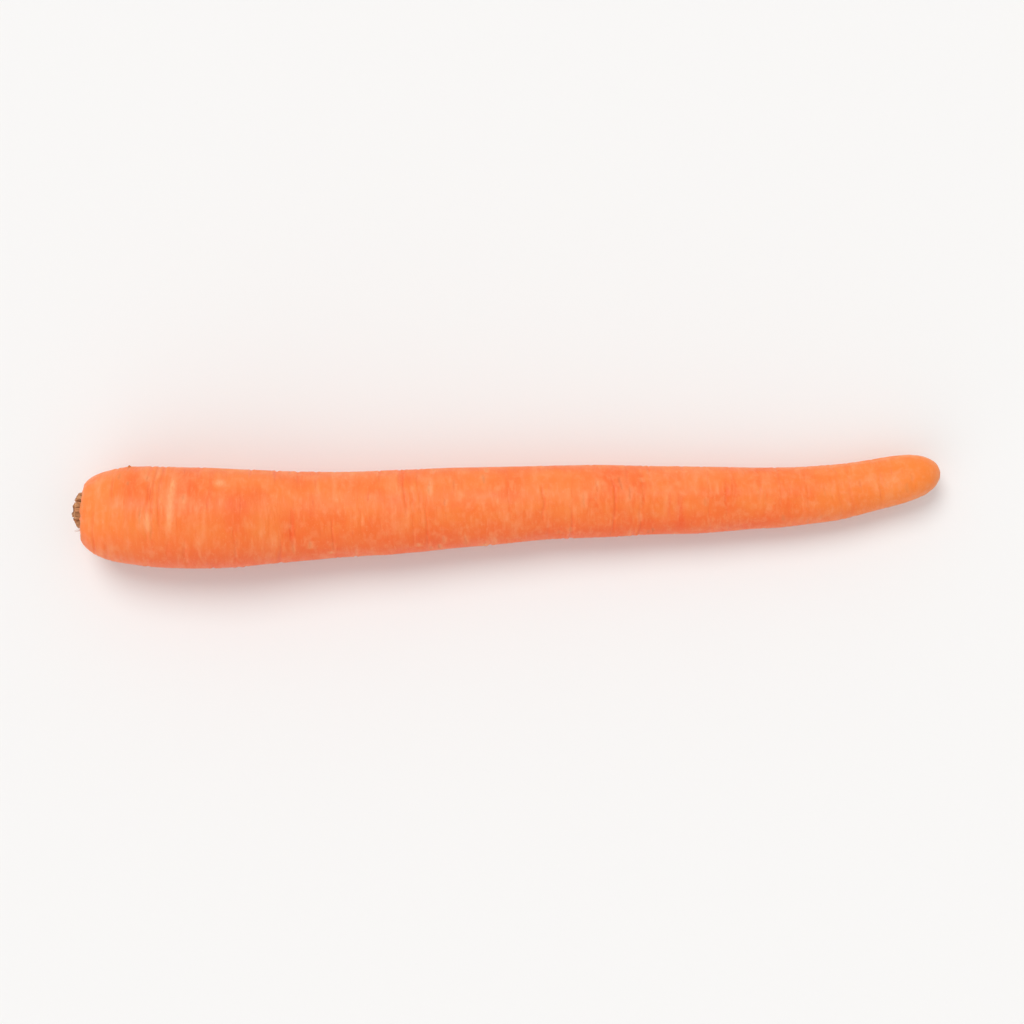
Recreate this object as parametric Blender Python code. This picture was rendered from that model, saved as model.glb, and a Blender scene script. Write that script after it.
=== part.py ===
"""A topped carrot: one slender taproot with the stubs of its leaf stalks standing in its crown.

Metres, +Z up. The root lies on the plane z = 0 with its crown towards -X and its tip towards +X,
and the origin is on that plane, under the middle of the object's bounding box.

The root is turned as a straight body first, like a spindle on a lathe, and is then bent along its
spine. The stalk stubs are crescents in section and stand on the floor of the crown's dimple.
Distances "along the root" run from the crown's rim, at 0, to the tip.
"""

import math

import bmesh
import bpy
from mathutils import Matrix, Vector

MM = 0.001

# The root's own sizes.
ROOT_LENGTH = 190.0 * MM
SHOULDER_DIAMETER = 22.3 * MM
TIP_DIAMETER = 11.0 * MM
SHOULDER_ROUNDING = 14.0 * MM
TIP_ROUNDING = 12.0 * MM
TIP_BLUNTNESS = 2.2

# How the radius falls between the two roundings, as (share of the way, share of the drop that is left).
TAPER = ((0.0, 0.96), (0.09, 1.0), (0.21, 0.75), (0.58, 0.45), (0.82, 0.25), (0.93, 0.11), (1.0, 0.0))

# The spine's sideways sway and the gap that it leaves under the root, as (share of the length, distance).
SWAY = (
    (0.0, 1.9 * MM),
    (0.06, 0.6 * MM),
    (0.13, 0.0),
    (0.30, 1.0 * MM),
    (0.58, 4.0 * MM),
    (0.77, 4.5 * MM),
    (0.87, 5.8 * MM),
    (0.95, 8.7 * MM),
    (1.0, 10.8 * MM),
)
LIFT = ((0.0, 0.3 * MM), (0.13, 0.0), (0.42, 0.5 * MM), (0.74, 0.0), (0.88, 0.5 * MM), (1.0, 2.0 * MM))
# How deep the underside is pressed flat where it rests.
REST_FLAT_DEPTH = 0.3 * MM

# How far the cross-section is from round: (lobes, share of the radius, turn in radians, turns along the root).
LOBES = ((2, 0.016, 0.6, 0.5), (3, 0.010, 2.1, -0.8), (5, 0.004, 0.3, 1.6))
# Slow swellings: (share of the radius, waves along the root, turn in radians).
SWELLINGS = ((0.010, 3.3, 0.4), (0.006, 8.1, 1.9))
# From the crown's rim, the root grows out of round over this length.
PLAIN_CROWN = 10.0 * MM

# The crown's dimple, and the leaf-stalk stubs in it.
DIMPLE_RADIUS = 5.6 * MM
DIMPLE_DEPTH = 1.8 * MM
STALK_MARGIN = 1.5 * MM
STALK_GAP = 0.4 * MM
FOOT_CLEARANCE = 0.3 * MM
STALK_RISE = 2.3 * MM
STALK_EDGE_RISE = 1.0 * MM
STALK_TAPER = 0.9
STALK_TRIM_SPREAD = 0.16
STALK_BEVEL = 0.2 * MM
INNER_RING_SHARE = 0.5
HEART_RADIUS = 0.3 * MM
OUTER_STALKS = 5
OUTER_TURN = 0.35
INNER_STALKS = 3
INNER_TURN = 0.9

# Mesh fineness.
SEGMENTS = 56
DIMPLE_RINGS = 6
SHOULDER_RINGS = 9
BODY_RINGS = 32
TIP_RINGS = 8
STALK_ARC_STEPS = 6
STALK_LAYERS = 3
WELD = 0.001 * MM
SMOOTH_BELOW = math.radians(50)

SHOULDER_RADIUS = SHOULDER_DIAMETER / 2
TIP_RADIUS = TIP_DIAMETER / 2
BODY_LENGTH = ROOT_LENGTH - SHOULDER_ROUNDING - TIP_ROUNDING
STALK_REACH = DIMPLE_RADIUS - STALK_MARGIN


def smooth_through(points, x):
    """The height at x of a smooth curve through (x, height) points that never overshoots them."""
    if x <= points[0][0]:
        return points[0][1]
    if x >= points[-1][0]:
        return points[-1][1]
    slopes = [(b[1] - a[1]) / (b[0] - a[0]) for a, b in zip(points, points[1:])]
    i = next(k for k in range(len(slopes)) if x <= points[k + 1][0])

    def tangent(k):
        before = slopes[max(k - 1, 0)]
        after = slopes[min(k, len(slopes) - 1)]
        if before * after <= 0:
            return 0.0
        return 2 * before * after / (before + after)

    (x0, y0), (x1, y1) = points[i], points[i + 1]
    span = x1 - x0
    u = (x - x0) / span
    from_start = (1 + 2 * u) * (1 - u) ** 2 * y0 + u * (1 - u) ** 2 * span * tangent(i)
    from_end = u * u * (3 - 2 * u) * y1 - u * u * (1 - u) * span * tangent(i + 1)
    return from_start + from_end


def fade_in(x, length):
    """0 at x = 0 and 1 from length on, and smooth between them."""
    u = min(1.0, max(0.0, x / length))
    return u * u * (3 - 2 * u)


def dimple_floor(radius):
    """How deep the crown's dimple is at this distance from its middle."""
    share = min(1.0, radius / DIMPLE_RADIUS)
    return DIMPLE_DEPTH * (1 + math.cos(math.pi * share)) / 2


def body_radius(along):
    drop_left = smooth_through(TAPER, (along - SHOULDER_ROUNDING) / BODY_LENGTH)
    return TIP_RADIUS + (SHOULDER_RADIUS - TIP_RADIUS) * drop_left


def root_profile():
    """(along, radius) points from the bottom of the dimple, over the shoulder and down the body to the tip."""
    shoulder_end = body_radius(SHOULDER_ROUNDING)
    profile = []
    for i in range(DIMPLE_RINGS):
        radius = DIMPLE_RADIUS * i / DIMPLE_RINGS
        profile.append((dimple_floor(radius), radius))
    for i in range(SHOULDER_RINGS):
        angle = math.pi / 2 * i / SHOULDER_RINGS
        radius = DIMPLE_RADIUS + (shoulder_end - DIMPLE_RADIUS) * math.sin(angle)
        profile.append((SHOULDER_ROUNDING * (1 - math.cos(angle)), radius))
    for i in range(BODY_RINGS):
        along = SHOULDER_ROUNDING + BODY_LENGTH * i / BODY_RINGS
        profile.append((along, body_radius(along)))
    for i in range(TIP_RINGS + 1):
        share = math.sin(math.pi / 2 * i / TIP_RINGS)
        radius = TIP_RADIUS * (1 - share**TIP_BLUNTNESS) ** (1 / TIP_BLUNTNESS)
        profile.append((ROOT_LENGTH - TIP_ROUNDING * (1 - share), radius))
    return profile


def spine_point(along):
    """The middle of the cross-section at this distance along the root."""
    share = along / ROOT_LENGTH
    height = body_radius(along) + smooth_through(LIFT, share)
    return Vector((along, smooth_through(SWAY, share), height))


def spine_frame(along):
    """A matrix that carries (0, sideways, up) in a cross-section to its place on the bent root."""
    step = 0.5 * MM
    forward = (spine_point(along + step) - spine_point(along - step)).normalized()
    sideways = Vector((0, 0, 1)).cross(forward).normalized()
    axes = Matrix((forward, sideways, forward.cross(sideways))).transposed()
    return Matrix.Translation(spine_point(along)) @ axes.to_4x4()


def out_of_round(along, angle):
    """The share by which the grown root is wider or narrower here than the turned one."""
    share = along / ROOT_LENGTH
    lobes = sum(
        size * math.cos(count * (angle - turn) + 2 * math.pi * turns * share)
        for count, size, turn, turns in LOBES
    )
    swelling = sum(size * math.sin(2 * math.pi * waves * share + turn) for size, waves, turn in SWELLINGS)
    return (lobes + swelling) * fade_in(along, PLAIN_CROWN)


def finished_object(name, shape, material):
    """Makes an object of a bmesh, with its faces pointing out, smooth shading and one material."""
    bmesh.ops.recalc_face_normals(shape, faces=shape.faces)
    mesh = bpy.data.meshes.new(name)
    shape.to_mesh(mesh)
    shape.free()
    mesh.materials.append(material)
    mesh.shade_smooth()
    mesh.set_sharp_from_angle(angle=SMOOTH_BELOW)
    made = bpy.data.objects.new(name, mesh)
    bpy.context.scene.collection.objects.link(made)
    return made


def plain_material(name, color, roughness):
    material = bpy.data.materials.new(name)
    material.use_nodes = True
    shader = material.node_tree.nodes["Principled BSDF"]
    shader.inputs["Base Color"].default_value = (*color, 1.0)
    shader.inputs["Roughness"].default_value = roughness
    shader.inputs["Metallic"].default_value = 0.0
    return material


def turned_body():
    """The root as a straight turned body along +X, its points still at (along, sideways, up)."""
    body = bmesh.new()
    points = [body.verts.new((along, 0.0, radius)) for along, radius in root_profile()]
    edges = [body.edges.new(pair) for pair in zip(points, points[1:])]
    bmesh.ops.spin(
        body,
        geom=points + edges,
        cent=(0, 0, 0),
        axis=(1, 0, 0),
        angle=2 * math.pi,
        steps=SEGMENTS,
        use_merge=True,
        use_duplicate=False,
    )
    bmesh.ops.remove_doubles(body, verts=body.verts, dist=WELD)
    return body


def make_root(material):
    """Bends the turned body along the spine and presses it flat where it rests."""
    body = turned_body()
    for point in body.verts:
        along, sideways, up = point.co
        # The dimple keeps its shape and turns as a whole, as the stubs in it do.
        in_dimple = along <= DIMPLE_DEPTH and math.hypot(sideways, up) < DIMPLE_RADIUS
        ring = 0.0 if in_dimple else along
        wider = 1 + out_of_round(ring, math.atan2(up, sideways))
        point.co = spine_frame(ring) @ Vector((along - ring, sideways * wider, up * wider))
        point.co.z = max(point.co.z, REST_FLAT_DEPTH)
    return finished_object("carrot_root", body, material)


def extruded_strip():
    """A strip of faces, from -1 to 1 in X and in Y, extruded from 0 to 1 in Z in even layers."""
    shape = bmesh.new()
    bmesh.ops.create_grid(shape, x_segments=STALK_ARC_STEPS, y_segments=1, size=1)
    top = [*shape.verts, *shape.edges, *shape.faces]
    for _ in range(STALK_LAYERS):
        top = bmesh.ops.extrude_face_region(shape, geom=top)["geom"]
        points = [item for item in top if isinstance(item, bmesh.types.BMVert)]
        bmesh.ops.translate(shape, verts=points, vec=(0, 0, 1 / STALK_LAYERS))
    return shape


def trimmed_top(radius, trim):
    """How far a stalk's cut end stands out of the crown at this distance from the axis."""
    dome = math.sqrt(max(0.0, 1 - (radius / STALK_REACH) ** 2))
    return trim * (STALK_EDGE_RISE + (STALK_RISE - STALK_EDGE_RISE) * dome)


def make_stalk(number, inner, outer, count, turn, material):
    """One leaf-stalk stub: a crescent in section, from the dimple's floor up to its trimmed end."""
    trim = 1 - STALK_TRIM_SPREAD * (1 + math.sin(2.4 * number)) / 2
    shape = extruded_strip()
    for point in shape.verts:
        across, outward, height = point.co
        slimmer = 1 - (1 - STALK_TAPER) * height
        radius = (inner + outer) / 2 + outward * slimmer * (outer - inner) / 2
        half_angle = math.pi / count - STALK_GAP / (2 * radius)
        around = turn + across * slimmer * half_angle
        foot = dimple_floor(radius) - FOOT_CLEARANCE
        along = foot - height * (foot + trimmed_top(radius, trim))
        point.co = (along, radius * math.cos(around), radius * math.sin(around))
    bmesh.ops.recalc_face_normals(shape, faces=shape.faces)
    corners = [edge for edge in shape.edges if edge.calc_face_angle() > SMOOTH_BELOW]
    bmesh.ops.bevel(shape, geom=corners, offset=STALK_BEVEL, segments=2, affect="EDGES", profile=0.5)
    shape.transform(spine_frame(0.0))
    return finished_object(f"leaf_stalk_{number}", shape, material)


def make_stalks(material):
    """Two rings of stubs, the inner ones in the middle of the outer ones."""
    split = STALK_REACH * INNER_RING_SHARE
    rings = (
        (split + STALK_GAP / 2, STALK_REACH, OUTER_STALKS, OUTER_TURN),
        (HEART_RADIUS, split - STALK_GAP / 2, INNER_STALKS, INNER_TURN),
    )
    stalks = []
    for inner, outer, count, start in rings:
        for i in range(count):
            turn = start + 2 * math.pi * i / count
            stalks.append(make_stalk(len(stalks) + 1, inner, outer, count, turn, material))
    return stalks


def centre_over_origin(objects):
    """Moves the finished meshes so that the origin is on the resting plane, under the middle of the box."""
    points = [vertex.co for thing in objects for vertex in thing.data.vertices]
    low = [min(point[axis] for point in points) for axis in range(3)]
    high = [max(point[axis] for point in points) for axis in range(3)]
    offset = Vector((-(low[0] + high[0]) / 2, -(low[1] + high[1]) / 2, -low[2]))
    for thing in objects:
        thing.data.transform(Matrix.Translation(offset))


def main():
    for thing in list(bpy.data.objects):
        bpy.data.objects.remove(thing, do_unlink=True)
    skin = plain_material("root_skin", (0.93, 0.21, 0.06), 0.45)
    dry_stalk = plain_material("dry_stalk", (0.42, 0.2, 0.09), 0.85)
    centre_over_origin([make_root(skin), *make_stalks(dry_stalk)])


main()
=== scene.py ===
"""Looks of the topped carrot: its grown skin, its dry leaf-stalk stubs, and a plain pale studio."""

import itertools
import math

import bmesh
import bpy
import numpy as np
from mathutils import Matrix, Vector
from mathutils.bvhtree import BVHTree


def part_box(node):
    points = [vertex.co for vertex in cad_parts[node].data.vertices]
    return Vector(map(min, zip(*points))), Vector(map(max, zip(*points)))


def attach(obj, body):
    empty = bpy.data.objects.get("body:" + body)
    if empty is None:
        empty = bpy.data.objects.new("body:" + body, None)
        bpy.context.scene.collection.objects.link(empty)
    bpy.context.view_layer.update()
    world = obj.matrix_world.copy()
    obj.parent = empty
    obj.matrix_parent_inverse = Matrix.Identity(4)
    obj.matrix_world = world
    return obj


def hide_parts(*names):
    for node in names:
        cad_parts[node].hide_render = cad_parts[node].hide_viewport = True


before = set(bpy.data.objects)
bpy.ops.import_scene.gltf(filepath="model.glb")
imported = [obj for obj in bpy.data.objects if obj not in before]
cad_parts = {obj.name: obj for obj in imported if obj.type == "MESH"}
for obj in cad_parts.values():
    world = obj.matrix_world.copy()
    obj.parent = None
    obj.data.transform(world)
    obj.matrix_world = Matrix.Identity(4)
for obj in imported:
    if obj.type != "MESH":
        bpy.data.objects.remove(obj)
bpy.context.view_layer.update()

MM = 0.001
LOW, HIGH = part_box("carrot_root")
LENGTH = HIGH.x - LOW.x

# CAD points closer than this are one point. Two triangles join into a quad if they bend and skew less than
# these angles, in radians.
SAME_POINT = 0.002 * MM
QUAD_BEND = 0.6
QUAD_SKEW = 1.2

# The root's middle line goes through the middles of slices of it, between these distances from its ends.
SPINE_FROM_CROWN = 6 * MM
SPINE_FROM_TIP = 4 * MM
SPINE_SLICES = 70
SLICE_HALF_WIDTH = 1.6 * MM
SPINE_DEGREE = 9

# The skin is a grid of rings along the root and points around it. The rings over each end fan out from a
# heart on the middle line.
POINTS_AROUND = 116
CROWN_RINGS = 72
BODY_RINGS = 750
TIP_RINGS = 34
CROWN_HEART = 9.0 * MM
TIP_HEART = 5.4 * MM
# The CAD facets are blurred away over this many rings and points around.
FACET_BLUR = (1.6, 1.2)
# The lowest that the skin may come, just above the surface that it lies on.
LEAST_HEIGHT = 0.02 * MM

# Patterns are laid out on a cylinder of this radius, so that they stay whole all round the root.
PATTERN_RADIUS = 9.0 * MM
CREASES = 130
CREASE_DEPTH = 0.20 * MM
LENTICELS = 130
SIDE_ROOTS = 15
ROOT_SEED = 2024


def noise(points, cell, seed):
    """Smooth noise from -1 to 1 at these points, with lumps about a cell wide.

    A cell has one size, or one along each axis.
    """
    at = (points - points.reshape(-1, 3).min(0)) / np.broadcast_to(cell, 3)
    corner = np.floor(at).astype(int)
    share = at - corner
    share = share**3 * (share * (6 * share - 15) + 10)
    lattice = np.random.default_rng(seed).uniform(-1, 1, corner.reshape(-1, 3).max(0) + 2)
    total = np.zeros(points.shape[:-1])
    for step in itertools.product((0, 1), repeat=3):
        weight = np.where(step, share, 1 - share).prod(-1)
        total += weight * lattice[tuple(np.moveaxis(corner + step, -1, 0))]
    return total


def rough_noise(points, cell, seed, octaves=3):
    """Noise with finer and fainter noise on it."""
    layers = [noise(points, np.divide(cell, 2.03**k), seed + k) / 2**k for k in range(octaves)]
    return sum(layers) / sum(0.5**k for k in range(octaves))


def step_up(x, start, end):
    """0 up to start, 1 from end on, and smooth between them."""
    u = np.clip((x - start) / (end - start), 0, 1)
    return u * u * (3 - 2 * u)


def smoothed(values, widths):
    """The grid blurred with bell curves of these widths, in rings and in points around."""
    for axis, width in enumerate(widths):
        reach = int(3 * width) + 1
        offsets = np.arange(-reach, reach + 1)
        bell = np.exp(-0.5 * (offsets / width) ** 2)
        pad = [(0, 0), (0, 0)]
        pad[axis] = (reach, reach)
        padded = np.pad(values, pad, mode=("edge", "wrap")[axis])
        values = np.apply_along_axis(np.convolve, axis, padded, bell / bell.sum(), mode="valid")
    return values


# --- The CAD surface ---------------------------------------------------------------------------------


def quad_copy(node, levels):
    """A CAD node's mesh with its triangles joined into quads and smoothed, as a mesh of its own."""
    shape = bmesh.new()
    shape.from_mesh(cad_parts[node].data)
    bmesh.ops.remove_doubles(shape, verts=shape.verts, dist=SAME_POINT)
    bmesh.ops.join_triangles(
        shape,
        faces=shape.faces,
        angle_face_threshold=QUAD_BEND,
        angle_shape_threshold=QUAD_SKEW,
    )
    mesh = bpy.data.meshes.new(node + "_copy")
    shape.to_mesh(mesh)
    shape.free()
    holder = bpy.data.objects.new(node + "_copy", mesh)
    bpy.context.scene.collection.objects.link(holder)
    smooth = holder.modifiers.new("smooth", "SUBSURF")
    smooth.levels = smooth.render_levels = levels
    graph = bpy.context.evaluated_depsgraph_get()
    fine = bpy.data.meshes.new_from_object(holder.evaluated_get(graph))
    bpy.data.objects.remove(holder)
    bpy.data.meshes.remove(mesh)
    return fine


def mesh_points(mesh):
    """The mesh's points, one in each row."""
    found = np.empty(len(mesh.vertices) * 3)
    mesh.vertices.foreach_get("co", found)
    return found.reshape(-1, 3)


class Spine:
    """The root's middle line, read from its surface."""

    def __init__(self, points):
        self.start = LOW.x + SPINE_FROM_CROWN
        self.end = HIGH.x - SPINE_FROM_TIP
        stations = np.linspace(self.start, self.end, SPINE_SLICES)
        middles = []
        for x in stations:
            near = points[np.abs(points[:, 0] - x) < SLICE_HALF_WIDTH]
            middles.append((near.min(0) + near.max(0)) / 2)
        middles = np.array(middles)
        self.centre = LOW.x + LENGTH / 2
        self.side = np.polyfit(stations - self.centre, middles[:, 1], SPINE_DEGREE)
        self.height = np.polyfit(stations - self.centre, middles[:, 2], SPINE_DEGREE)

    def at(self, x):
        """The point at this x, or the nearest end of the line."""
        x = np.clip(x, self.start, self.end)
        offset = x - self.centre
        return Vector((x, np.polyval(self.side, offset), np.polyval(self.height, offset)))

    def axes(self, x):
        """Forward, sideways and up at this place."""
        forward = (self.at(x + MM) - self.at(x - MM)).normalized()
        sideways = Vector((0, 0, 1)).cross(forward).normalized()
        return forward, sideways, forward.cross(sideways)


def root_grid(mesh):
    """Rings of points on the root's surface, found by looking out from its spine, and their turns."""
    points = mesh_points(mesh)
    faces = [list(face.vertices) for face in mesh.polygons]
    tree = BVHTree.FromPolygons([Vector(p) for p in points], faces)
    spine = Spine(points)
    crown_x, tip_x = LOW.x + CROWN_HEART, HIGH.x - TIP_HEART
    quarter = math.pi / 2
    # Where each ring looks out from, and how far it leans: back over the crown, or forward over the tip.
    looks = [(crown_x, -quarter * (1 - i / CROWN_RINGS)) for i in range(1, CROWN_RINGS)]
    looks += [(x, 0.0) for x in np.linspace(crown_x, tip_x, BODY_RINGS)]
    looks += [(tip_x, quarter * i / TIP_RINGS) for i in range(1, TIP_RINGS)]
    turns = 2 * math.pi * np.arange(POINTS_AROUND) / POINTS_AROUND
    origins, outward, distance = [], [], []
    for x, lean in looks:
        forward, sideways, up = spine.axes(x)
        start = spine.at(x)
        for turn in turns:
            level = sideways * math.cos(turn) + up * math.sin(turn)
            direction = level * math.cos(lean) + forward * math.sin(lean)
            origins.append(start)
            outward.append(direction)
            distance.append(tree.ray_cast(start, direction)[3])
    shape = (len(looks), POINTS_AROUND)
    distance = smoothed(np.array(distance).reshape(shape), FACET_BLUR)
    outward = np.array(outward).reshape(*shape, 3)
    return np.array(origins).reshape(*shape, 3) + outward * distance[..., None], turns


def grid_normals(grid):
    """The outward direction at each point of the grid."""
    around = np.roll(grid, -1, 1) - np.roll(grid, 1, 1)
    along = np.gradient(grid, axis=0)
    normal = np.cross(around, along)
    normal /= np.maximum(np.linalg.norm(normal, axis=-1, keepdims=True), 1e-12)
    middle = grid.mean(1, keepdims=True)
    return normal * np.sign(((grid - middle) * normal).sum(-1).mean())


# --- The root's skin ---------------------------------------------------------------------------------

# Marks on the side that faces up: (distance from the crown, turn and length around in degrees, width,
# strength). A turn goes from 0 on the +Y side through 90 on top to 180 on the -Y side.
PALE_STREAKS = (
    (20.9 * MM, 72, 76, 0.50 * MM, 1.30),
    (16.0 * MM, 94, 26, 0.60 * MM, 1.10),
    (18.6 * MM, 62, 40, 1.20 * MM, 0.40),
    (8.5 * MM, 84, 40, 0.80 * MM, 0.35),
    (11.5 * MM, 88, 46, 0.60 * MM, 0.30),
    (5.2 * MM, 152, 44, 0.50 * MM, 0.50),
    (7.6 * MM, 128, 30, 0.50 * MM, 0.35),
    (26.5 * MM, 118, 44, 0.40 * MM, 0.30),
    (31.0 * MM, 70, 34, 0.45 * MM, 0.45),
    (40.0 * MM, 105, 50, 0.40 * MM, 0.30),
    (120.0 * MM, 75, 66, 0.80 * MM, 0.40),
    (126.0 * MM, 58, 40, 0.90 * MM, 0.40),
)
DEEP_BANDS = (
    (132.0 * MM, 118, 70, 0.70 * MM, 0.90),
    (129.5 * MM, 100, 44, 0.35 * MM, 0.60),
    (118.0 * MM, 44, 60, 3.00 * MM, 0.70),
    (14.0 * MM, 62, 80, 3.00 * MM, 0.50),
    (24.0 * MM, 40, 70, 2.60 * MM, 0.45),
    (170.0 * MM, 80, 150, 0.32 * MM, 0.60),
    (177.0 * MM, 62, 80, 0.30 * MM, 0.50),
    (46.5 * MM, 110, 70, 0.32 * MM, 0.50),
)
# The radius that turns the length of a streak or a band from degrees into metres.
STREAK_RADIUS = 11 * MM
BAND_RADIUS = 9 * MM
# Bands narrower than this are grooves.
WIDEST_GROOVE = 1 * MM
# A pale scar on top: (distance from the crown, turn, size).
PALE_SCAR = (31 * MM, math.radians(45), 0.75 * MM)
# The broken side root that stands out on the +Y side.
SEEN_SIDE_ROOT = (10.2 * MM, math.radians(8), 0.55 * MM)


class Skin:
    """Height and colour fields over the root's grid, which the marks below add to."""

    def __init__(self, grid, turns):
        self.turns = turns
        self.along = np.repeat(grid[..., 0].mean(1)[:, None] - LOW.x, len(turns), 1)
        middle = grid.mean(1, keepdims=True)
        radius = np.linalg.norm(grid - middle, axis=-1).mean(1)
        self.radius = np.repeat(radius[:, None], len(turns), 1)
        # The way along the surface from the crown's end, and the place on the pattern's cylinder.
        steps = np.linalg.norm(np.diff(grid, axis=0), axis=-1).mean(1)
        self.way = np.repeat(np.concatenate(([0.0], np.cumsum(steps)))[:, None], len(turns), 1)
        turn = np.broadcast_to(turns, self.way.shape)
        self.place = np.stack(
            (self.way, PATTERN_RADIUS * np.cos(turn), PATTERN_RADIUS * np.sin(turn)), axis=-1
        )
        self.height = np.zeros(self.way.shape)
        self.pale = np.zeros(self.way.shape)
        self.deep = np.zeros(self.way.shape)
        self.brown = np.zeros(self.way.shape)
        self.waver = noise(self.place, (5 * MM, 3 * MM, 3 * MM), 11) * 0.35 * MM
        # 0 on the crown's own face, 1 on the sides.
        self.side = step_up(self.way, 6.5 * MM, 11.0 * MM)
        # 1 as far as the middle, and less towards the tip, where the skin is smoother.
        self.relief = 1 - 0.65 * step_up(self.along, 0.6 * LENGTH, 0.78 * LENGTH)
        self.outward = grid_normals(grid)

    def around(self, turn):
        """How far each point is round the root from this turn, in metres."""
        gap = (self.turns - turn + math.pi) % (2 * math.pi) - math.pi
        return gap * self.radius

    def offset(self, along):
        """How far each point is along the root from a slightly wavering line across it."""
        return self.along - along - self.waver

    def streak(self, along, turn, half_length, width):
        """1 on the middle of a lens-shaped mark across the root, and 0 off it."""
        reach = np.clip(np.abs(self.around(turn)) / half_length, 0, 1)
        lens = np.sqrt(1 - reach**2)
        taper = width * (0.3 + 0.7 * lens)
        return np.exp(-0.5 * (self.offset(along) / taper) ** 2) * step_up(lens, 0.1, 1.0)

    def spot(self, along, turn, size):
        """1 in the middle of a round mark and 0 off it."""
        square = (self.along - along) ** 2 + self.around(turn) ** 2
        return np.exp(-0.5 * square / size**2)


def row_turn(number, along):
    """Side roots and slits stand in four rows, which wind slowly round the root."""
    return math.pi / 2 * (number % 4) + 0.5 + 1.1 * along / LENGTH


def add_growth(skin):
    """Slow lumps, faint lengthwise ribs, patches of fine rings and the grain of the skin."""
    skin.height += 0.15 * MM * noise(skin.place, 11 * MM, 1) * skin.side
    skin.height += 0.09 * MM * noise(skin.place, (6 * MM, 4 * MM, 4 * MM), 2) * skin.side
    skin.height += 0.050 * MM * noise(skin.place, (45 * MM, 2.6 * MM, 2.6 * MM), 3) * skin.side
    ringed = step_up(noise(skin.place, (14 * MM, 9 * MM, 9 * MM), 5), -0.4, 0.5)
    rings = rough_noise(skin.place, (1.3 * MM, 6 * MM, 6 * MM), 4)
    skin.height += 0.075 * MM * ringed * rings * skin.side * skin.relief
    skin.height += 0.018 * MM * rough_noise(skin.place, 0.9 * MM, 8)


def add_creases(skin, draw):
    """Shallow creases across the root, closer together near the crown and the tip, with a painted shade of
    deeper orange along them.
    """
    for _ in range(CREASES):
        along = LENGTH * (0.02 + 0.955 * draw.beta(0.75, 0.8))
        half_length = draw.uniform(2.0, 13) * MM
        width = draw.uniform(0.17, 0.32) * MM
        strength = draw.uniform(0.15, 1.0)
        crease = skin.streak(along, draw.uniform(0, 2 * math.pi), half_length, width)
        # A low lip runs beside it on both sides, as far round the root as the crease does.
        reach = step_up(crease.max(0), 0, 0.5) * (crease.max(0) > 0.05)
        lip = reach * np.exp(-0.5 * ((np.abs(skin.offset(along)) - 2.6 * width) / width) ** 2)
        skin.height += skin.relief * CREASE_DEPTH * strength * (0.35 * lip - crease)
        # Painted shade: a deeper orange along each crease.
        skin.deep += skin.relief * 0.55 * crease * strength


def add_lenticels(skin, draw):
    """Pale corky slits across the root, in four loose rows, each with a low raised rim."""
    for number in range(LENTICELS):
        along = LENGTH * draw.uniform(0.03, 0.97)
        turn = row_turn(number, along) + draw.normal(0, 0.33)
        half_length = draw.uniform(0.5, 2.4) * MM * (1.2 - 0.5 * along / LENGTH)
        width = draw.uniform(0.16, 0.28) * MM
        rim = skin.streak(along, turn, half_length * 1.15, 2.1 * width)
        slit = skin.streak(along, turn, half_length, width)
        skin.height += skin.relief * (0.13 * rim - 0.26 * slit) * MM
        skin.pale += skin.relief * draw.uniform(0.15, 0.75) * rim
        skin.brown += draw.uniform(0.0, 0.20) * slit


def root_scars(draw):
    """Where side roots broke off: (distance from the crown, turn, size)."""
    scars = [SEEN_SIDE_ROOT]
    for number in range(SIDE_ROOTS):
        along = LENGTH * draw.uniform(0.08, 0.96)
        turn = row_turn(number, along) + draw.normal(0, 0.15)
        # Only the first one shows from above.
        if math.sin(turn) > 0.25:
            turn = -turn
        scars.append((along, turn, draw.uniform(0.28, 0.5) * MM))
    return scars


def add_root_scars(skin, scars):
    """A low mound with a small dark pit in the middle."""
    for along, turn, size in scars:
        mound = skin.spot(along, turn, 1.7 * size)
        pit = skin.spot(along, turn, 0.55 * size)
        skin.height += 0.30 * size * mound - 0.34 * size * pit
        skin.brown += 0.42 * pit + 0.10 * mound
        skin.pale += 0.25 * mound


def add_scuffs(skin):
    """Paler rubbed patches, mostly across the root, deeper orange ones between them, and flecks."""
    patches = rough_noise(skin.place, (6 * MM, 8 * MM, 8 * MM), 21, 4)
    strokes = rough_noise(skin.place, (1.3 * MM, 7 * MM, 7 * MM), 31, 3)
    rubbed = step_up(patches + 0.6 * strokes, 0.05, 0.8)
    skin.pale += 0.5 * rubbed * (0.6 + 0.4 * strokes)
    skin.deep += 0.5 * step_up(-patches - 0.35 * strokes, 0.1, 0.75)
    flecks = noise(skin.place, (0.55 * MM, 1.5 * MM, 1.5 * MM), 41)
    skin.pale += 0.22 * step_up(flecks, 0.35, 0.85)


def add_seen_marks(skin):
    """The streaks, the bands and the scar that show on top."""
    worn = 0.65 + 0.5 * rough_noise(skin.place, (0.9 * MM, 1.8 * MM, 1.8 * MM), 71)
    for along, turn, length, width, strength in PALE_STREAKS:
        half_length = math.radians(length / 2) * STREAK_RADIUS
        mark = skin.streak(along, math.radians(turn), half_length, width)
        skin.pale += strength * mark * worn
        skin.height += 0.03 * MM * mark
    for along, turn, length, width, strength in DEEP_BANDS:
        half_length = math.radians(length / 2) * BAND_RADIUS
        mark = skin.streak(along, math.radians(turn), half_length, width)
        skin.deep += strength * mark
        if width < WIDEST_GROOVE:
            skin.height -= 0.09 * MM * strength * mark
    scar = skin.spot(*PALE_SCAR)
    skin.pale += 1.2 * scar
    skin.height += 0.05 * MM * scar


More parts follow.
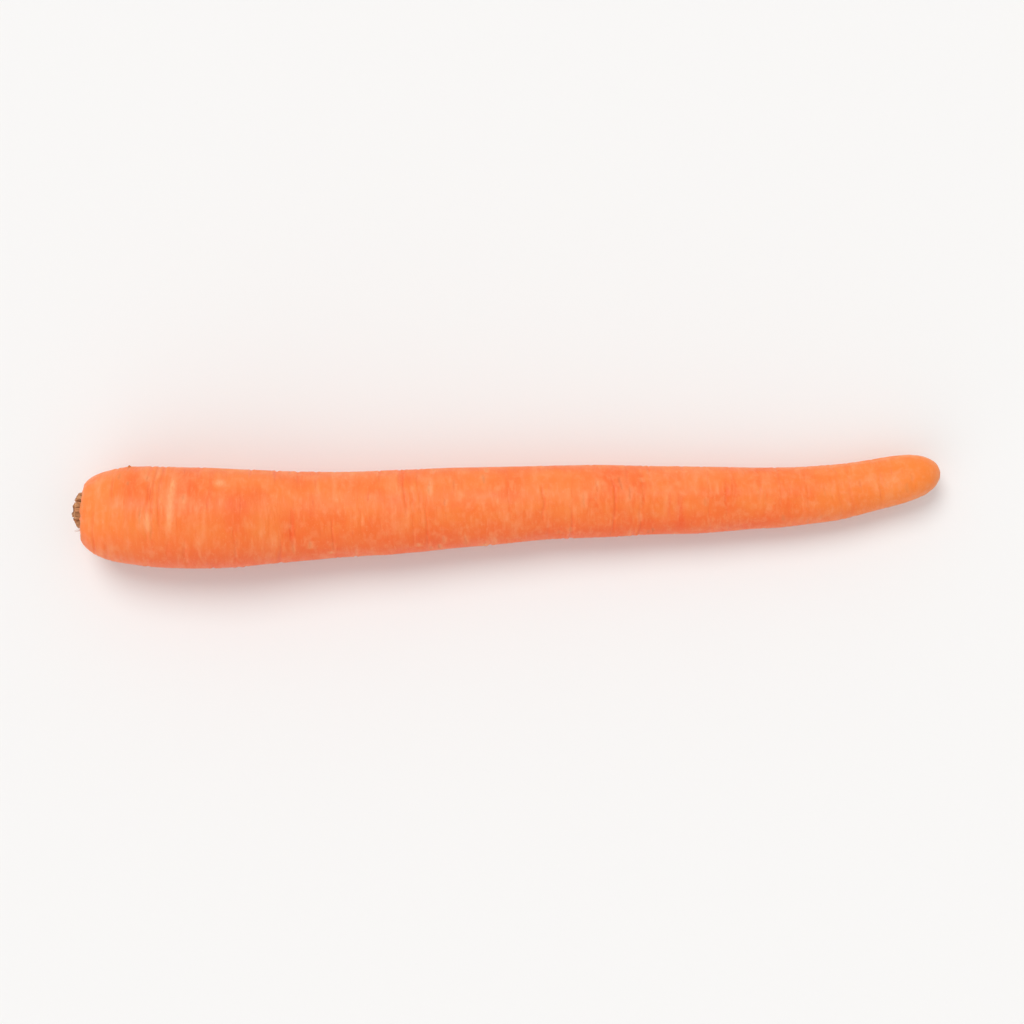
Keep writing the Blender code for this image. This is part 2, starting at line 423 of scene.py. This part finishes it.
def add_crown(skin):
    """Fine folds that run into the crown, and the brown corky ring round the stubs."""
    rim = step_up(skin.way, 1.0 * MM, 3.5 * MM) * (1 - step_up(skin.way, 8 * MM, 14 * MM))
    folds = noise(skin.place, (60 * MM, 1.5 * MM, 1.5 * MM), 51)
    skin.height += 0.09 * MM * folds * rim
    ragged = 0.9 * MM * noise(skin.place, (3 * MM, 2.2 * MM, 2.2 * MM), 52)
    corky = 1 - step_up(skin.way + 0.8 * ragged, 4.9 * MM, 6.3 * MM)
    skin.brown += 0.8 * corky
    # Wrinkles that run in towards the stubs, crossed by finer ones round them.
    withered = 1 - step_up(skin.way + ragged, 5.6 * MM, 8.0 * MM)
    wrinkles = -np.abs(rough_noise(skin.place, (3.0 * MM, 2.1 * MM, 2.1 * MM), 53))
    cracks = -np.abs(rough_noise(skin.place, (0.9 * MM, 4.0 * MM, 4.0 * MM), 57))
    skin.height += (0.75 * wrinkles + 0.45 * cracks + 0.25) * MM * withered
    skin.brown += 0.30 * corky * step_up(-wrinkles, 0.05, 0.4)
    stain = 1 - step_up(skin.way + 2 * ragged, 5.5 * MM, 8.5 * MM)
    skin.brown += 0.14 * stain


def add_tip(skin):
    """Close rings round the tip, and the brown scar of the hair root that broke off its end."""
    from_end = skin.way.max() - skin.way
    near = 1 - step_up(from_end, 8 * MM, 22 * MM)
    rings = noise(skin.place, (0.9 * MM, 9 * MM, 9 * MM), 61)
    skin.height += 0.035 * MM * rings * near
    scar = 1 - step_up(from_end, 0.5 * MM, 1.5 * MM)
    skin.height += 0.08 * MM * scar
    skin.brown += 0.22 * scar
    skin.pale += 0.25 * (1 - step_up(from_end, 1 * MM, 6 * MM))


# --- Pieces ------------------------------------------------------------------------------------------

# Where the map's two strips stand: (lowest edge, height).
CROWN_STRIP = (0.01, 0.55)
TIP_STRIP = (0.58, 0.41)
STRIP_START = 0.01
STRIP_LENGTH = 0.98


def grid_faces(rings, around):
    """Quads between neighbouring rings, and a fan of triangles to each end point, which come last."""
    ring = np.arange(around)
    after = (ring + 1) % around
    faces = []
    for row in range(rings - 1):
        low, high = row * around, (row + 1) * around
        faces += np.stack((low + ring, low + after, high + after, high + ring), 1).tolist()
    crown, tip = rings * around, rings * around + 1
    last = (rings - 1) * around
    faces += [(crown, int(b), int(a)) for a, b in zip(ring, after)]
    faces += [(tip, last + int(a), last + int(b)) for a, b in zip(ring, after)]
    return faces


def tube_faces(start, steps, sides):
    """Quads round a tube of this many rings, and its two ends. Its first point has this index."""
    faces = []
    for step in range(steps - 1):
        low, high = start + step * sides, start + (step + 1) * sides
        for side in range(sides):
            after = (side + 1) % sides
            faces.append((low + side, low + after, high + after, high + side))
    last = start + (steps - 1) * sides
    faces.append(tuple(start + side for side in reversed(range(sides))))
    faces.append(tuple(last + side for side in range(sides)))
    return faces


def with_ends(values):
    """The grid's values, and those of its first and its last point once more for the two end points."""
    return np.concatenate((values, values[:1], values[-1:]))


def write_looks(mesh, marks, place):
    """Gives each point three marks, which its colours are mixed by, and its place in millimetres."""
    marks = np.c_[marks, np.ones(len(marks))]
    field = mesh.attributes.new("skin_marks", "FLOAT_COLOR", "POINT")
    field.data.foreach_set("color", marks.astype(np.float32).ravel())
    field = mesh.attributes.new("skin_place", "FLOAT_VECTOR", "POINT")
    field.data.foreach_set("vector", np.asarray(place, np.float32).ravel())


def lay_out_map(mesh, rings, around):
    """The skin unrolled into two strips, one above the other, for the two halves of the root's length."""
    half = (rings + 1) // 2
    layer = mesh.uv_layers.new(name="OFBake")
    corner_points = np.empty(len(mesh.loops), int)
    mesh.loops.foreach_get("vertex_index", corner_points)
    uv = np.zeros((len(mesh.loops), 2))
    for face in mesh.polygons:
        own = slice(face.loop_start, face.loop_start + face.loop_total)
        corners = corner_points[own]
        # The two end points count as rings before the first and after the last, at their face's turn.
        at_end = corners >= rings * around
        end_ring = np.where(corners == rings * around, -1, rings)
        ring = np.where(at_end, end_ring, corners // around)
        point = corners % around
        point = np.where(at_end, point[~at_end].max(), point)
        # A face that crosses from the last turn to the first runs on past the strip's top edge.
        wraps = np.ptp(point) > around / 2
        point = np.where(wraps & (point < around / 2), point + around, point)
        in_tip_half = ring.max() > half
        first_ring = half if in_tip_half else -1
        bottom, height = TIP_STRIP if in_tip_half else CROWN_STRIP
        uv[own, 0] = STRIP_START + STRIP_LENGTH * (ring - first_ring) / (half + 2)
        uv[own, 1] = bottom + height * point / around
    layer.uv.foreach_set("vector", uv.astype(np.float32).ravel())


def new_piece(name, points, faces, material):
    """A smooth-shaded object in the scene."""
    mesh = bpy.data.meshes.new(name)
    mesh.from_pydata(np.asarray(points).tolist(), [], faces)
    mesh.shade_smooth()
    mesh.materials.append(material)
    piece = bpy.data.objects.new(name, mesh)
    bpy.context.scene.collection.objects.link(piece)
    return piece


def ride_root(piece):
    """Everything on a carrot moves as one, so every piece rides on the body root."""
    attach(piece, "root")


def make_taproot(material):
    """The root's skin, with its relief and its marks, and the ends of its side roots."""
    base = quad_copy("carrot_root", 2)
    grid, turns = root_grid(base)
    bpy.data.meshes.remove(base)
    skin = Skin(grid, turns)
    draw = np.random.default_rng(ROOT_SEED)
    add_growth(skin)
    add_creases(skin, draw)
    add_lenticels(skin, draw)
    scars = root_scars(draw)
    add_root_scars(skin, scars)
    add_scuffs(skin)
    add_seen_marks(skin)
    add_crown(skin)
    add_tip(skin)
    # The relief fades out towards the crown's end point, where the rings close.
    fade = step_up(skin.way, 0, 1.2 * MM)
    grid = grid + skin.outward * (skin.height * fade)[..., None]
    grid[..., 2] = np.maximum(grid[..., 2], LEAST_HEIGHT)
    rings, around = skin.way.shape
    points = np.concatenate((grid.reshape(-1, 3), grid[[0, -1]].mean(1)))
    piece = new_piece("taproot", points, grid_faces(rings, around), material)
    middle = rings // 2
    if piece.data.polygons[middle * around].normal.dot(Vector(skin.outward[middle, 0])) < 0:
        piece.data.flip_normals()
    marks = np.stack((skin.pale, skin.deep, skin.brown), -1).clip(0, 1)
    place = skin.place / MM
    write_looks(piece.data, with_ends(marks.reshape(-1, 3)), with_ends(place.reshape(-1, 3)))
    lay_out_map(piece.data, rings, around)
    ride_root(piece)
    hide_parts("carrot_root")
    make_rootlets(skin, grid, scars, draw, material)


def make_rootlets(skin, grid, scars, draw, material):
    """Short withered stubs of side roots, on some of their scars."""
    points, faces, marks = [], [], []
    sides, steps = 10, 7
    for number, (along, turn, size) in enumerate(scars):
        ring = np.argmin(np.abs(skin.along[:, 0] - along))
        column = int(round(turn / (2 * math.pi) * POINTS_AROUND)) % POINTS_AROUND
        foot = Vector(grid[ring, column])
        out = Vector(skin.outward[ring, column])
        # None face the ground. The first one always stands, and about half of the others do.
        if out.z < -0.6 or (number and draw.random() < 0.5):
            continue
        across = out.orthogonal().normalized()
        third = out.cross(across)
        length = size * draw.uniform(0.8, 1.3)
        bend = across * draw.uniform(-0.3, 0.3) + third * draw.uniform(-0.3, 0.3)
        faces += tube_faces(len(points), steps, sides)
        for step in range(steps):
            share = step / (steps - 1)
            # It starts inside the root, and its last ring nearly closes over its end.
            thick = size * (0.85 - 0.3 * share) * (1 - 0.9 * share**5)
            at = foot + (out * (share * 1.25 - 0.25) + bend * share**2) * length
            for side in range(sides):
                angle = 2 * math.pi * side / sides
                uneven = thick * (1 + 0.14 * math.sin(3 * angle + 40 * along / MM + 2 * share))
                points.append(at + (across * math.cos(angle) + third * math.sin(angle)) * uneven)
                marks.append((0.35 * (1 - share), 0.0, 0.25 + 0.55 * share))
    piece = new_piece("rootlet_stubs", points, faces, material)
    write_looks(piece.data, marks, np.array(points) / MM + (LENGTH / 2 / MM, 0, 0))
    ride_root(piece)


# --- Materials ---------------------------------------------------------------------------------------

ORANGE = (0.91, 0.210, 0.037, 1)
DEEP_ORANGE = (0.88, 0.103, 0.013, 1)
PALE_ORANGE = (0.95, 0.38, 0.16, 1)
YELLOW_ORANGE = (0.92, 0.235, 0.030, 1)
# The red of the painted shade in the creases.
CREASE_SHADE_RED = (0.70, 0.060, 0.012, 1)
CORK = (0.42, 0.16, 0.050, 1)
DARK_CORK = (0.22, 0.066, 0.018, 1)
STALK_TAN = (0.64, 0.29, 0.13, 1)
STALK_BROWN = (0.38, 0.15, 0.06, 1)
STALK_DARK = (0.15, 0.055, 0.023, 1)
STALK_BLEACHED = (0.60, 0.34, 0.17, 1)
STALK_FOOT = (0.62, 0.22, 0.06, 1)
FLOOR_COLOUR = (0.86, 0.855, 0.85, 1)
FLOOR_CLOUD = (0.83, 0.83, 0.83, 1)


class Shader:
    """A material's node tree, with short ways to add the nodes that these materials use."""

    def __init__(self, name):
        self.material = bpy.data.materials.new(name)
        self.material.use_nodes = True
        self.tree = self.material.node_tree
        self.surface = self.tree.nodes["Principled BSDF"]

    def node(self, kind, inputs, **settings):
        """A new node with these settings, and with a value or a link put into each of these inputs."""
        made = self.tree.nodes.new("ShaderNode" + kind)
        for key, value in settings.items():
            setattr(made, key, value)
        for key, value in inputs.items():
            self.put(made.inputs[key], value)
        return made

    def put(self, socket, value):
        """Links another node's output to the socket, or sets its constant."""
        if isinstance(value, bpy.types.NodeSocket):
            self.tree.links.new(value, socket)
        else:
            socket.default_value = value

    def maths(self, kind, a, b):
        """One arithmetic step."""
        return self.node("Math", {0: a, 1: b}, operation=kind).outputs[0]

    def mix(self, share, a, b):
        """Colour a where share is 0 and colour b where it is 1."""
        return self.node("Mix", {0: share, 6: a, 7: b}, data_type="RGBA").outputs[2]

    def stretched(self, place, size):
        """The place in cells of this size, so that a pattern is as coarse along each axis as its cell."""
        cells = [1 / s for s in size]
        return self.node("Mapping", {"Vector": place, "Scale": cells}).outputs[0]

    def noise(self, place, scale=1.0, detail=3.0, roughness=0.5):
        """Cloudy noise from 0 to 1."""
        inputs = {"Vector": place, "Scale": scale, "Detail": detail, "Roughness": roughness}
        return self.node("TexNoise", inputs).outputs[0]

    def ramp(self, value, low, high):
        """0 at low, 1 at high, and smooth between them. High may be the lesser of the two."""
        inputs = {"Value": value, "From Min": low, "From Max": high}
        return self.node("MapRange", inputs, interpolation_type="SMOOTHSTEP").outputs[0]

    def attribute(self, name):
        """A field that the mesh carries."""
        return self.node("Attribute", {}, attribute_name=name)

    def place_and_marks(self):
        """What write_looks gave each point: its place, and its three marks."""
        marks = self.node("SeparateColor", {"Color": self.attribute("skin_marks").outputs["Color"]})
        return self.attribute("skin_place").outputs["Vector"], marks.outputs

    def bump(self, height, distance, strength, under=None):
        """A normal tilted by this height, on top of another one if under is given."""
        inputs = {"Height": height, "Distance": distance, "Strength": strength}
        if under is not None:
            inputs["Normal"] = under
        return self.node("Bump", inputs).outputs[0]


def skin_material():
    """Carrot skin: mottled orange with fine strokes, painted crease shade and grain, cork where it is brown,
    and a painted shade of deeper orange on the -Y side.

    Pattern sizes are in millimetres: along the root, then sideways and up.
    """
    s = Shader("carrot_skin")
    place, (pale, deep, brown) = s.place_and_marks()

    broad = s.ramp(s.noise(s.stretched(place, (9, 7, 7)), detail=4), 0.3, 0.8)
    colour = s.mix(s.maths("MULTIPLY", broad, 0.5), ORANGE, DEEP_ORANGE)
    colour = s.mix(s.maths("MULTIPLY", deep, 0.8), colour, DEEP_ORANGE)

    # The tip is yellower, and so is the shoulder, a little. The -Y side is painted a deeper orange, as
    # painted shade.
    way, sideways, _ = s.node("SeparateXYZ", {"Vector": place}).outputs
    total = LENGTH / MM
    tip = s.ramp(way, total * 0.80, total * 1.05)
    blurred_edge = s.maths("MULTIPLY", s.noise(s.stretched(place, (11, 5, 5)), detail=3), 5.0)
    # Painted shade: a deeper orange over the -Y side, with a blurred edge, and less of it towards the tip.
    painted_shade_side = s.ramp(s.maths("ADD", sideways, blurred_edge), 1.5, -7.5)
    painted_shade_side = s.maths("MULTIPLY", painted_shade_side, s.maths("SUBTRACT", 0.75, s.maths("MULTIPLY", tip, 0.6)))
    colour = s.mix(painted_shade_side, colour, DEEP_ORANGE)
    shoulder = s.maths("SUBTRACT", 1.0, s.ramp(way, 8.0, 34.0))
    warm = s.maths("MAXIMUM", s.maths("MULTIPLY", tip, 0.85), s.maths("MULTIPLY", shoulder, 0.35))
    colour = s.mix(warm, colour, YELLOW_ORANGE)

    # Fine strokes across the root and a soft mottle, then the pale rubbed marks, broken up by grain.
    strokes = s.noise(s.stretched(place, (0.9, 4.5, 4.5)), detail=5, roughness=0.65)
    strokes = s.ramp(strokes, 0.46, 0.76)
    drift = s.ramp(s.noise(s.stretched(place, (5, 3.5, 3.5)), detail=2), 0.35, 0.65)
    strokes = s.maths("MULTIPLY", strokes, drift)
    colour = s.mix(s.maths("MULTIPLY", strokes, 0.38), colour, PALE_ORANGE)
    mottle = s.noise(s.stretched(place, (2.0, 2.6, 2.6)), detail=4, roughness=0.55)
    mottle = s.ramp(mottle, 0.48, 0.76)
    colour = s.mix(s.maths("MULTIPLY", mottle, 0.28), colour, PALE_ORANGE)
    grain = s.noise(s.stretched(place, (0.32, 0.8, 0.8)), detail=4, roughness=0.65)
    soft_grain = s.maths("ADD", 0.5, s.maths("MULTIPLY", s.ramp(grain, 0.25, 0.75), 0.5))
    colour = s.mix(s.maths("MULTIPLY", pale, soft_grain), colour, PALE_ORANGE)
    speckle = s.ramp(s.noise(s.stretched(place, (0.5, 0.5, 0.5)), detail=2), 0.62, 0.74)
    colour = s.mix(s.maths("MULTIPLY", speckle, 0.22), colour, PALE_ORANGE)
    # Thin red lines painted across the root as the shade of creases, where there are no strokes.
    creases = s.ramp(s.noise(s.stretched(place, (0.5, 7, 7)), detail=3), 0.64, 0.76)
    creases = s.maths("MULTIPLY", creases, s.maths("SUBTRACT", 1.0, drift))
    colour = s.mix(s.maths("MULTIPLY", creases, 0.4), colour, CREASE_SHADE_RED)

    rays = s.noise(s.stretched(place, (2.6, 0.8, 0.8)), detail=4, roughness=0.6)
    cork = s.mix(s.ramp(s.maths("ADD", grain, rays), 0.7, 1.3), DARK_CORK, CORK)
    colour = s.mix(brown, colour, cork)
    s.put(s.surface.inputs["Base Color"], colour)

    # Satin skin, and rougher where it is rubbed or corky.
    satin = s.ramp(s.noise(s.stretched(place, (1.6, 3.5, 3.5)), detail=4), 0.25, 0.75)
    roughness = s.maths("ADD", 0.36, s.maths("MULTIPLY", satin, 0.14))
    roughness = s.maths("ADD", roughness, s.maths("MULTIPLY", pale, 0.10))
    roughness = s.maths("ADD", roughness, s.maths("MULTIPLY", brown, 0.35))
    s.put(s.surface.inputs["Roughness"], roughness)

    fine = s.noise(s.stretched(place, (0.22, 1.3, 1.3)), detail=5, roughness=0.6)
    normal = s.bump(fine, 0.10 * MM, 0.7)
    normal = s.bump(grain, 0.06 * MM, 0.5, under=normal)
    s.put(s.surface.inputs["Normal"], normal)

    s.surface.inputs["Subsurface Weight"].default_value = 0.22
    s.surface.inputs["Subsurface Radius"].default_value = (1.0, 0.3, 0.1)
    s.surface.inputs["Subsurface Scale"].default_value = 1.1 * MM
    s.surface.inputs["Specular IOR Level"].default_value = 0.34
    return s.material


def stalk_material():
    """Dry leaf stalk: tan fibres along the stub, darker in the grooves and at the cut."""
    s = Shader("dry_stalk")
    place, (groove, cut, foot) = s.place_and_marks()
    streaks = s.noise(s.stretched(place, (2.4, 0.22, 0.22)), detail=4, roughness=0.6)
    blotches = s.noise(s.stretched(place, (1.1, 1.1, 1.1)), detail=3)
    colour = s.mix(s.ramp(streaks, 0.32, 0.66), STALK_BROWN, STALK_TAN)
    colour = s.mix(s.ramp(blotches, 0.5, 0.75), colour, STALK_BLEACHED)
    colour = s.mix(s.maths("MULTIPLY", groove, 0.7), colour, STALK_DARK)
    colour = s.mix(s.maths("MULTIPLY", cut, 0.75), colour, STALK_DARK)
    colour = s.mix(s.maths("MULTIPLY", foot, 0.45), colour, STALK_FOOT)
    s.put(s.surface.inputs["Base Color"], colour)
    roughness = s.maths("ADD", 0.68, s.maths("MULTIPLY", streaks, 0.25))
    s.put(s.surface.inputs["Roughness"], roughness)
    s.put(s.surface.inputs["Normal"], s.bump(streaks, 0.10 * MM, 0.8))
    s.surface.inputs["Specular IOR Level"].default_value = 0.25
    return s.material


def floor_material():
    """Smooth pale paper with a very faint cloudiness."""
    s = Shader("pale_floor")
    place = s.node("TexCoord", {}).outputs["Object"]
    cloud = s.noise(place, scale=9.0, detail=3)
    colour = s.mix(s.maths("MULTIPLY", cloud, 0.12), FLOOR_COLOUR, FLOOR_CLOUD)
    s.put(s.surface.inputs["Base Color"], colour)
    s.surface.inputs["Roughness"].default_value = 0.85
    s.surface.inputs["Specular IOR Level"].default_value = 0.15
    return s.material


# --- The leaf-stalk stubs ----------------------------------------------------------------------------

# The crown's axis runs out from the middle of a slice of the root, this far from the crown's end.
SLICE_BEHIND_CROWN = 10 * MM
SLICE_BEHIND_HALF_WIDTH = 2.5 * MM
# How far a stub's foot reaches down into the crown's floor.
FOOT_REACH = 0.55 * MM
FIBRES = 64
FIBRE_SEED = 77
# How far below the stubs' middle the fibres start, inside the crown's floor.
FIBRE_ROOT = 1.6 * MM


def stalk_nodes():
    """The names of the CAD nodes of the stubs."""
    return sorted(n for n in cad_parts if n.startswith("leaf_stalk_"))


def crown_axes():
    """The middle of the ring of stubs and its axes: out of the crown, sideways and up."""
    points = np.concatenate([mesh_points(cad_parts[n].data) for n in stalk_nodes()])
    middle = (points.min(0) + points.max(0)) / 2
    root = mesh_points(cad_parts["carrot_root"].data)
    near = root[np.abs(root[:, 0] - LOW.x - SLICE_BEHIND_CROWN) < SLICE_BEHIND_HALF_WIDTH]
    behind = (near.min(0) + near.max(0)) / 2
    outward = Vector(middle - behind).normalized()
    sideways = Vector((0, 0, 1)).cross(-outward).normalized()
    return Vector(middle), outward, sideways, (-outward).cross(sideways)


def make_stub(node, axes, material):
    """A stub with fibres down its sides, a ragged cut and a pithy hollow in its end, rooted in the crown."""
    middle, outward, sideways, up = axes
    number = node.split("_")[-1]
    seed = 100 + 7 * int(number)
    mesh = quad_copy(node, 3)
    points = mesh_points(mesh)
    offset = points - np.array(middle)
    height = offset @ np.array(outward)
    flat = offset - height[:, None] * np.array(outward)
    # From 0 at the stub's foot to 1 at its cut.
    share = (height - height.min()) / np.ptp(height)
    from_axis = flat - flat.mean(0)
    rim = np.linalg.norm(from_axis, axis=1)
    rim = rim / np.percentile(rim, 96)
    local = np.stack((height, flat @ np.array(sideways), flat @ np.array(up)), -1)

    ribs = noise(local, (3.5 * MM, 0.28 * MM, 0.28 * MM), seed)
    lumps = noise(local, 0.9 * MM, seed + 1)
    ragged = noise(local, 0.45 * MM, seed + 2)
    near_cut = step_up(share, 0.72, 0.95)

    # A dry stub shrinks towards its cut.
    swell = 0.07 * ribs + 0.06 * lumps - 0.10 * share
    points = points + from_axis * swell[:, None]
    pith = 1 - step_up(rim, 0.25, 0.85)
    lift = near_cut * (0.30 + 0.20 * ragged + 0.12 * lumps - 0.35 * pith) * MM
    lift -= (1 - step_up(share, 0.0, 0.35)) * FOOT_REACH
    points = points + lift[:, None] * np.array(outward)
    mesh.vertices.foreach_set("co", points.ravel())
    mesh.update()
    mesh.shade_smooth()
    mesh.materials.clear()
    mesh.materials.append(material)

    grooves = step_up(-ribs, 0.15, 0.7) * (1 - near_cut)
    cut = near_cut * (1 - step_up(rim, 0.3, 0.8)) + 0.5 * near_cut * step_up(ragged, 0.2, 0.6)
    foot = 1 - step_up(share, 0.15, 0.55)
    write_looks(mesh, np.stack((grooves, cut, foot), -1).clip(0, 1), (local + seed * MM) / MM)
    piece = bpy.data.objects.new("stub_" + number, mesh)
    bpy.context.scene.collection.objects.link(piece)
    ride_root(piece)
    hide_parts(node)


def make_fibres(axes, material):
    """Fine frayed fibres that stand between the stubs and round their feet."""
    middle, outward, sideways, up = axes
    draw = np.random.default_rng(FIBRE_SEED)
    points, faces, marks = [], [], []
    sides, steps = 5, 7
    for _ in range(FIBRES):
        turn = draw.uniform(0, 2 * math.pi)
        reach = draw.uniform(0.6, 4.9) * MM
        level = sideways * math.cos(turn) + up * math.sin(turn)
        across = outward.cross(level)
        length = draw.uniform(0.9, 2.3) * MM
        thickness = draw.uniform(0.035, 0.075) * MM
        lean = draw.uniform(-0.1, 0.75)
        curl = draw.normal(0, 0.5)
        start = middle + level * reach - outward * FIBRE_ROOT
        faces += tube_faces(len(points), steps, sides)
        for step in range(steps):
            share = step / (steps - 1)
            bend = level * lean * share**1.6 + across * curl * share**2
            at = start + (outward * share + bend * 0.6) * length
            size = thickness * (1 - 0.8 * share**2)
            for side in range(sides):
                angle = 2 * math.pi * side / sides
                points.append(at + (level * math.cos(angle) + across * math.sin(angle)) * size)
                marks.append((share * 0.3, 0.0, 1 - share))
    piece = new_piece("crown_fibres", points, faces, material)
    write_looks(piece.data, marks, np.array(points) / MM)
    ride_root(piece)


# --- The studio --------------------------------------------------------------------------------------

FLOOR_SIZE = 12.0
WHITE = (1, 1, 1)
WARM_WHITE = (1.0, 0.985, 0.965)
# The backdrop is as pale as the floor at the horizon, and softer from this height of the sky up.
HORIZON_STRENGTH = 0.98
SKY_STRENGTH = 0.62
SKY_FROM = 0.45
LENS = 100
SENSOR_WIDTH = 36
# The share of the picture's width that the root takes up.
ROOT_SHARE = 0.84


def make_floor():
    """A plain floor, so large that its edge is lost in the backdrop."""
    half = FLOOR_SIZE / 2
    corners = [(-half, -half, 0), (half, -half, 0), (half, half, 0), (-half, half, 0)]
    floor = new_piece("floor", corners, [(0, 1, 2, 3)], floor_material())


def add_sun(name, direction_from, softness, strength, colour):
    """Light from far away in this direction, from a patch of sky this many degrees wide."""
    lamp = bpy.data.lights.new(name, "SUN")
    lamp.angle = math.radians(softness)
    lamp.energy = strength
    lamp.color = colour
    light = bpy.data.objects.new(name, lamp)
    light.rotation_euler = Vector(direction_from).to_track_quat("Z", "Y").to_euler()
    bpy.context.scene.collection.objects.link(light)


def make_sky():
    """A white sky, brighter at the horizon."""
    world = bpy.data.worlds.new("studio")
    world.use_nodes = True
    nodes, links = world.node_tree.nodes, world.node_tree.links
    place = nodes.new("ShaderNodeTexCoord")
    height = nodes.new("ShaderNodeSeparateXYZ")
    strength = nodes.new("ShaderNodeMapRange")
    strength.interpolation_type = "SMOOTHSTEP"
    strength.inputs["From Max"].default_value = SKY_FROM
    strength.inputs["To Min"].default_value = HORIZON_STRENGTH
    strength.inputs["To Max"].default_value = SKY_STRENGTH
    links.new(place.outputs["Generated"], height.inputs[0])
    links.new(height.outputs["Z"], strength.inputs["Value"])
    links.new(strength.outputs[0], nodes["Background"].inputs["Strength"])
    nodes["Background"].inputs["Color"].default_value = (*WHITE, 1)
    bpy.context.scene.world = world


def make_studio():
    """A pale floor, two soft suns and a white sky."""
    make_floor()
    add_sun("key", (-0.22, 0.45, 0.85), 30, 1.4, WARM_WHITE)
    add_sun("side", (-0.5, -0.7, 0.5), 60, 0.5, WHITE)
    make_sky()
    bpy.context.scene.view_settings.view_transform = "Standard"


def make_camera():
    """Straight above, with the crown on the left."""
    lens = bpy.data.cameras.new("camera")
    lens.lens = LENS
    lens.sensor_width = SENSOR_WIDTH
    camera = bpy.data.objects.new("camera", lens)
    middle = (LOW + HIGH) / 2
    seen_width = LENGTH / ROOT_SHARE
    camera.location = (middle.x, middle.y, HIGH.z / 2 + seen_width * LENS / SENSOR_WIDTH)
    bpy.context.scene.collection.objects.link(camera)
    bpy.context.scene.camera = camera


make_taproot(skin_material())
dry_stalk = stalk_material()
crown = crown_axes()
for stalk in stalk_nodes():
    make_stub(stalk, crown, dry_stalk)
make_fibres(crown, dry_stalk)
make_studio()
make_camera()
